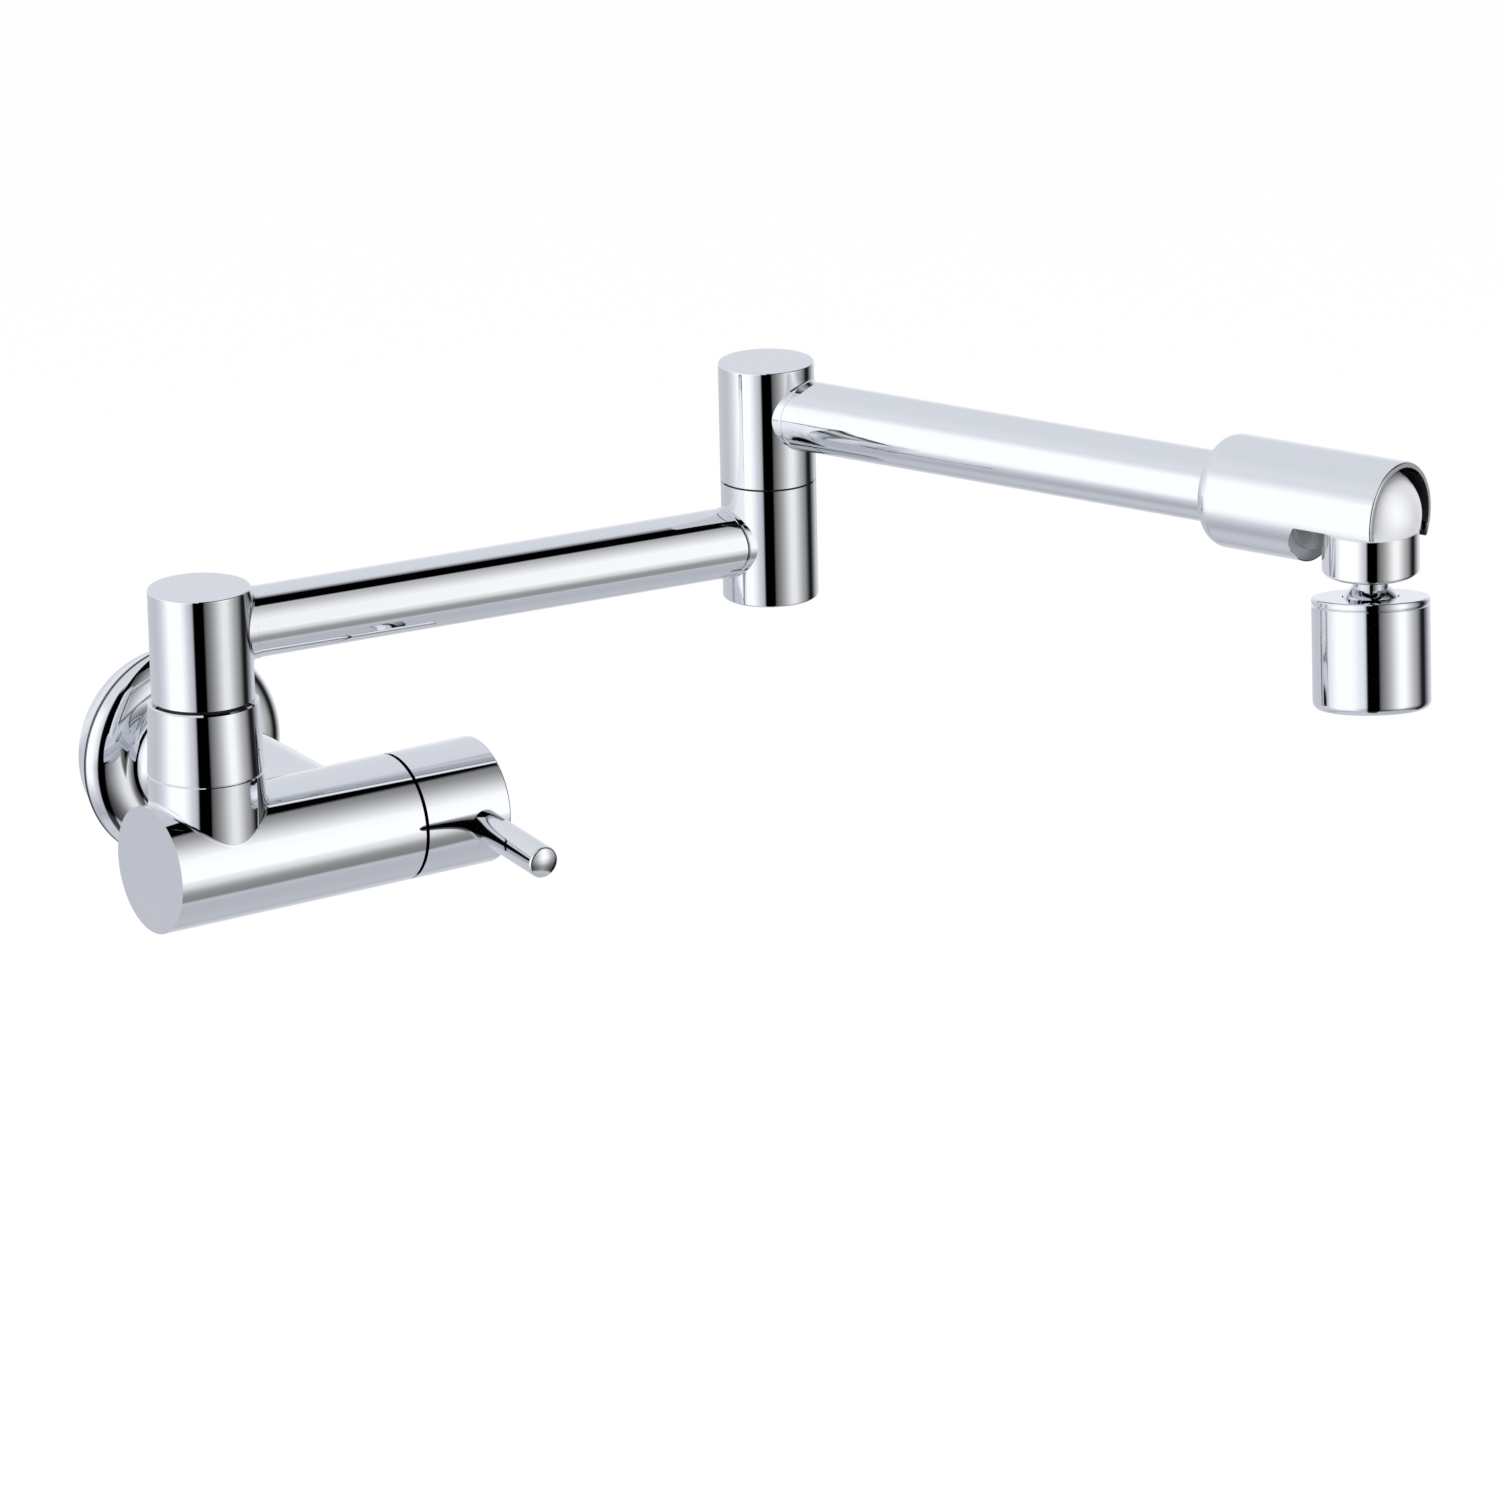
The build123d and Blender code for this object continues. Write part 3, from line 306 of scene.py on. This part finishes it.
# Along the side the radius grows as a power of the distance, slowly at the wall and quickly at the rim
side_share = np.linspace(0, 1, side_points)
side = np.c_[bell_back_radius + (bell_radius - bell_back_radius) * side_share ** flare_power,
             bell_start + (bell_widest - bell_start) * side_share]
dome_foot = collar_radius + collar_round
dome_top = bell_widest + dome_rise
collar_end = dome_top + collar_round
dome = ellipse_arc((dome_foot, bell_widest), bell_radius - dome_foot, dome_rise, 90, 0, dome_points)
# A shallow line is turned into the dome near the rim
in_line = (dome[:, 1] > line_start) & (dome[:, 1] < line_start + line_width)
dome[in_line, 0] -= line_depth
painted_shade_columns = len(side) - 1 + np.flatnonzero(in_line)
painted_shade_columns = np.arange(painted_shade_columns[0] - 1, painted_shade_columns[-1] + 1)
root = ellipse_arc((dome_foot, collar_end), -collar_round, -collar_round, 0, 90, root_points)
lip = np.array([(neck_hole_radius, collar_end), (neck_hole_radius, dome_top - bell_sheet)])
inner_dome = ellipse_arc((dome_foot, bell_widest), bell_radius - bell_sheet - dome_foot, dome_rise - bell_sheet,
                         0, 90, inner_points)
inner_back = np.array([(bell_back_radius - bell_sheet, bell_start)])
flange_loop = np.vstack([side, dome[1:], root[1:], lip, inner_dome, inner_back])
inlet_axis = np.array([0.0, -1.0, 0.0])
flange = turned_piece("domed_wall_flange", np.zeros(3), inlet_axis, flange_loop, flange_steps, closed=True)
flange.data.materials.append(finishes["chrome"])
# The turned line's faces wear the dark finish, painted shade in the groove
flange.data.materials.append(finishes["line"])
loop_columns = np.arange(len(flange.data.polygons)) % len(flange_loop)
flange.data.polygons.foreach_set("material_index", np.isin(loop_columns, painted_shade_columns).astype(np.int32))
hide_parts("wall_flange")
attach(flange, "valve")


# Lever: a plain round bar out of the hub, with a rounded edge and a domed end

# It leaves the hub's axis beyond the middle of the hub, and falls a little
lever_beyond_middle = 5.45
lever_place = np.array(joint_place["handle_turn"]) + np.array([lever_beyond_middle / mm_per_m, 0.0, 0.0])
lever_fall = math.radians(5.0)
lever_axis = np.array([0.0, -math.cos(lever_fall), -math.sin(lever_fall)])
# Radii and distances from the hub's axis, in millimetres
lever_radius = 5.1
lever_root = 18.5
lever_edge_start = 53.4
lever_edge_round = 1.1
# How far the dome's rim leans from square to the bar, in degrees
lever_dome_slope = 22.0
# Points along the edge and the dome, and steps round the axis
edge_points, end_points = 16, 20
lever_steps = 96

bar_root = np.array([(0, lever_root), (lever_radius, lever_root)])
bar_edge = ellipse_arc((lever_radius - lever_edge_round, lever_edge_start), lever_edge_round, lever_edge_round,
                       90, lever_dome_slope, edge_points)
# The dome is part of a ball that goes on from the edge without a crease
ball_radius = bar_edge[-1, 0] / math.sin(math.radians(lever_dome_slope))
ball_centre = (0, bar_edge[-1, 1] - ball_radius * math.cos(math.radians(lever_dome_slope)))
bar_end = ellipse_arc(ball_centre, ball_radius, ball_radius, lever_dome_slope, 0, end_points)
lever_profile = np.vstack([bar_root, bar_edge, bar_end[1:]])
lever = turned_piece("stout_lever_rod", lever_place, lever_axis, lever_profile, lever_steps, closed=False)
lever.data.materials.append(finishes["chrome"])
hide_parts("lever_rod")
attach(lever, "handle")


# Studio: what the chrome mirrors, fixed in the room

# The camera's angles in degrees, lens in millimetres and place in metres
camera_azimuth = -32.549
camera_elevation = 17.907
camera_roll = -1.298
camera_lens = 241.05
camera_place = Vector((-1.4827, -2.6709, 0.9778))
page_strength = 1.0
room_strength = 1.25

world = bpy.data.worlds.new("white_studio")
scene.world = world
world.use_nodes = True
sky = world.node_tree
sky.nodes.clear()
# Directions are turned so that a heading of zero is towards the camera and grows to its right
facing = add(sky, "ShaderNodeTexCoord")
turned = add(sky, "ShaderNodeMapping", {"Vector": facing.outputs["Generated"]},
             {"Rotation": (0, 0, math.radians(90 - camera_azimuth))}, vector_type="POINT")
axes = add(sky, "ShaderNodeSeparateXYZ", {"Vector": turned.outputs["Vector"]})
heading = add(sky, "ShaderNodeMath", {0: axes.outputs["Y"], 1: axes.outputs["X"]}, operation="ARCTAN2")
heading_share = add(sky, "ShaderNodeMapRange", {"Value": heading.outputs["Value"]},
                    {"From Min": -math.pi, "From Max": math.pi}).outputs["Result"]
height_share = add(sky, "ShaderNodeMapRange", {"Value": axes.outputs["Z"]},
                   {"From Min": -1.0, "From Max": 1.0}).outputs["Result"]


def shades(share, stops):
    """Shades along a share from 0 to 1, blended between (place, sRGB hex or plain level) stops."""
    node = add(sky, "ShaderNodeValToRGB", {"Fac": share})
    elements = node.color_ramp.elements
    while len(elements) < len(stops):
        elements.new(1.0)
    for element, (place, shade) in zip(elements, stops):
        element.position = place
        element.color = linear(shade) if isinstance(shade, str) else (shade, shade, shade, 1.0)
    return node.outputs["Color"]


def by_heading(*stops):
    """Shades over the heading, from stops in degrees to the camera's right."""
    return shades(heading_share, [((degrees + 180) / 360, shade) for degrees, shade in stops])


def by_height(*stops):
    """Shades over the elevation, from stops in degrees."""
    return shades(height_share, [
        ((math.sin(math.radians(degrees)) + 1) / 2, shade) for degrees, shade in stops])


white = add(sky, "ShaderNodeRGB").outputs["Color"]
white.default_value = linear("#FFFFFF")
# Walls, floor and ceiling by height, a little lighter on the left
left_walls = by_height(
    (-60, "#C6C8CE"), (-52, "#ABADB4"), (-44, "#B6B8BF"), (-30, "#C0C2C8"), (-14, "#BBBDC3"), (-4, "#E2E4E8"),
    (6, "#DEE0E4"), (14, "#D9DBDF"), (50, "#DADCE0"), (58, "#D6D8DC"), (90, "#D0D2D6"))
right_walls = by_height(
    (-90, "#B6B8BE"), (-62, "#B2B4BA"), (-52, "#B4B6BC"), (-46, "#C2C4CA"), (-36, "#D0D2D7"), (-17, "#C6C8CD"),
    (-4, "#E0E2E6"), (8, "#CFD1D6"), (20, "#CACCD2"), (45, "#CCCED4"), (58, "#CED0D5"), (90, "#C8CAD0"))
rightness = by_heading((-180, 0.5), (-100, 0.0), (-1, 0.0), (1, 1.0), (100, 1.0), (180, 0.5))
walls = add(sky, "ShaderNodeMix", {"Factor": rightness, "A": left_walls, "B": right_walls},
            data_type="RGBA").outputs["Result"]
# Left softbox: white in the middle, fading into the walls
left_width = by_heading(
    (-112, 0.0), (-95, 0.24), (-85, 0.54), (-75, 0.91), (-70, 1.0), (-43, 1.0), (-35, 0.71), (-25, 0.2),
    (-18, 0.0))
left_height = by_height(
    (-45, 0.0), (-33.5, 0.37), (-26, 0.85), (-21, 1.0), (27, 1.0), (34, 0.5), (42, 0.0))
left_box = add(sky, "ShaderNodeVectorMath", {0: left_width, 1: left_height}, operation="MULTIPLY")
left_side = add(sky, "ShaderNodeMix", {"Factor": left_box.outputs["Vector"], "A": walls, "B": white},
                data_type="RGBA")
# Right softbox: rises out of the black gap and sinks into a second one, before the back wall
right_width = by_heading(
    (10.5, 0.0), (12, 0.06), (15, 0.14), (25, 0.29), (35, 0.49), (45, 0.77), (54, 1.0), (64, 1.0), (75, 0.72),
    (85, 0.48), (95, 0.33), (103, 0.14), (109, 0.015), (180, 0.01))
right_height = by_height(
    (-44, 0.29), (-38, 0.28), (-34, 0.31), (-30, 0.38), (-25, 0.58), (-21, 0.73), (-17, 0.8), (-12, 1.0),
    (6, 1.0), (18, 0.97), (31, 0.76), (43, 0.56), (50, 0.48), (55.5, 0.52), (57.3, 0.0))
right_box = add(sky, "ShaderNodeVectorMath", {0: right_width, 1: right_height}, operation="MULTIPLY")
above_floor = by_height((-48, 0.0), (-44, 1.0))
behind = by_heading((120, 0.0), (132, 0.4), (148, 1.0))
right_front = add(sky, "ShaderNodeMix", {"Factor": above_floor, "A": walls, "B": right_box.outputs["Vector"]},
                  data_type="RGBA")
right_side = add(sky, "ShaderNodeMix", {"Factor": behind, "A": right_front.outputs["Result"], "B": walls},
                 data_type="RGBA")
right_half = by_heading((-0.5, 0.0), (0.5, 1.0))
lit_room = add(sky, "ShaderNodeMix", {
    "Factor": right_half, "A": left_side.outputs["Result"], "B": right_side.outputs["Result"]},
    data_type="RGBA")
# Black gap round the camera, at the level of the softboxes and, less deep, on the floor
gap = by_heading((-19, 1.0), (-14, 0.72), (-12, 0.1), (-11, 0.0), (10, 0.0), (12, 1.0))
gap_height = by_height((-80, 0.0), (-65, 0.85), (-50, 0.92), (-43, 1.0), (42, 1.0), (52, 0.0))
gap_shade = add(sky, "ShaderNodeMix", {"Factor": gap_height, "A": white, "B": gap}, data_type="RGBA")
studio = add(sky, "ShaderNodeVectorMath", {0: lit_room.outputs["Result"], 1: gap_shade.outputs["Result"]},
             operation="MULTIPLY")
# The studio is only mirrored: the page behind the object stays plain white
path = add(sky, "ShaderNodeLightPath")
page = add(sky, "ShaderNodeBackground", {"Color": white}, {"Strength": page_strength})
room = add(sky, "ShaderNodeBackground", {"Color": studio.outputs["Vector"]}, {"Strength": room_strength})
seen_as = add(sky, "ShaderNodeMixShader", {
    0: path.outputs["Is Glossy Ray"], 1: page.outputs["Background"], 2: room.outputs["Background"]})
add(sky, "ShaderNodeOutputWorld", {"Surface": seen_as.outputs["Shader"]})


# Floor: a pale matt board well below the faucet, which keeps a soft shadow

# Height and reach in metres, the card's grain in millimetres, its shades, and its glow to the camera
floor_height = -0.42
floor_reach = 6.0
fibre_mm = 2.5
fibre_detail = 3.0
card_dark = 0.93
card_pale = 0.97
card_glow = 0.7

floor_mesh = bpy.data.meshes.new("floor")
corners = np.array([(-1, -1), (1, -1), (1, 1), (-1, 1)]) * floor_reach
floor_mesh.from_pydata(np.c_[corners, np.full(4, floor_height)].tolist(), [], [(0, 1, 2, 3)])
floor = bpy.data.objects.new("floor", floor_mesh)
scene.collection.objects.link(floor)
floor.visible_glossy = False
board = bpy.data.materials.new("white_card")
board.use_nodes = True
card = board.node_tree
card.nodes.clear()
spot = add(card, "ShaderNodeTexCoord")
fibre = add(card, "ShaderNodeTexNoise", {"Vector": spot.outputs["Object"]},
            {"Scale": mm_per_m / fibre_mm, "Detail": fibre_detail})
paper = add(card, "ShaderNodeMapRange", {"Value": fibre.outputs["Fac"]},
            {"To Min": card_dark, "To Max": card_pale})
matt = add(card, "ShaderNodeBsdfDiffuse", {"Color": paper.outputs["Result"]})
glow = add(card, "ShaderNodeEmission", (), {"Strength": 1.0})
ray = add(card, "ShaderNodeLightPath")
seen = add(card, "ShaderNodeMath", {0: ray.outputs["Is Camera Ray"]}, {1: card_glow}, operation="MULTIPLY")
mixed = add(card, "ShaderNodeMixShader", {
    0: seen.outputs["Value"], 1: matt.outputs["BSDF"], 2: glow.outputs["Emission"]})
add(card, "ShaderNodeOutputMaterial", {"Surface": mixed.outputs["Shader"]})
floor_mesh.materials.append(board)


# One broad lamp overhead for the shadow, in watts and metres

lamp_power = 9.0
lamp_size = 1.2
lamp_place = Vector((-0.25, -0.75, 1.5))
lamp_aim = Vector((0.1, -0.15, 0.0))
lamp_data = bpy.data.lights.new("overhead", "AREA")
lamp_data.energy = lamp_power
lamp_data.size = lamp_size
lamp = bpy.data.objects.new("overhead", lamp_data)
lamp.location = lamp_place
lamp.rotation_euler = (lamp_aim - lamp_place).to_track_quat("-Z", "Y").to_euler()
lamp.visible_glossy = False
scene.collection.objects.link(lamp)


# Camera at the photograph's place

sensor_width_mm = 36
farthest_seen = 50
azimuth, elevation, roll = (math.radians(angle) for angle in (camera_azimuth, camera_elevation, camera_roll))
back = Vector((math.sin(azimuth) * math.cos(elevation), -math.cos(azimuth) * math.cos(elevation),
               math.sin(elevation)))
right = Vector((math.cos(azimuth), math.sin(azimuth), 0))
up = back.cross(right)
across = math.cos(roll) * right + math.sin(roll) * up
upward = -math.sin(roll) * right + math.cos(roll) * up
camera_data = bpy.data.cameras.new("camera")
camera_data.sensor_width = sensor_width_mm
camera_data.lens = camera_lens
camera_data.clip_end = farthest_seen
camera = bpy.data.objects.new("camera", camera_data)
camera.matrix_world = Matrix.Translation(camera_place) @ Matrix((across, upward, back)).transposed().to_4x4()
scene.collection.objects.link(camera)
scene.camera = camera
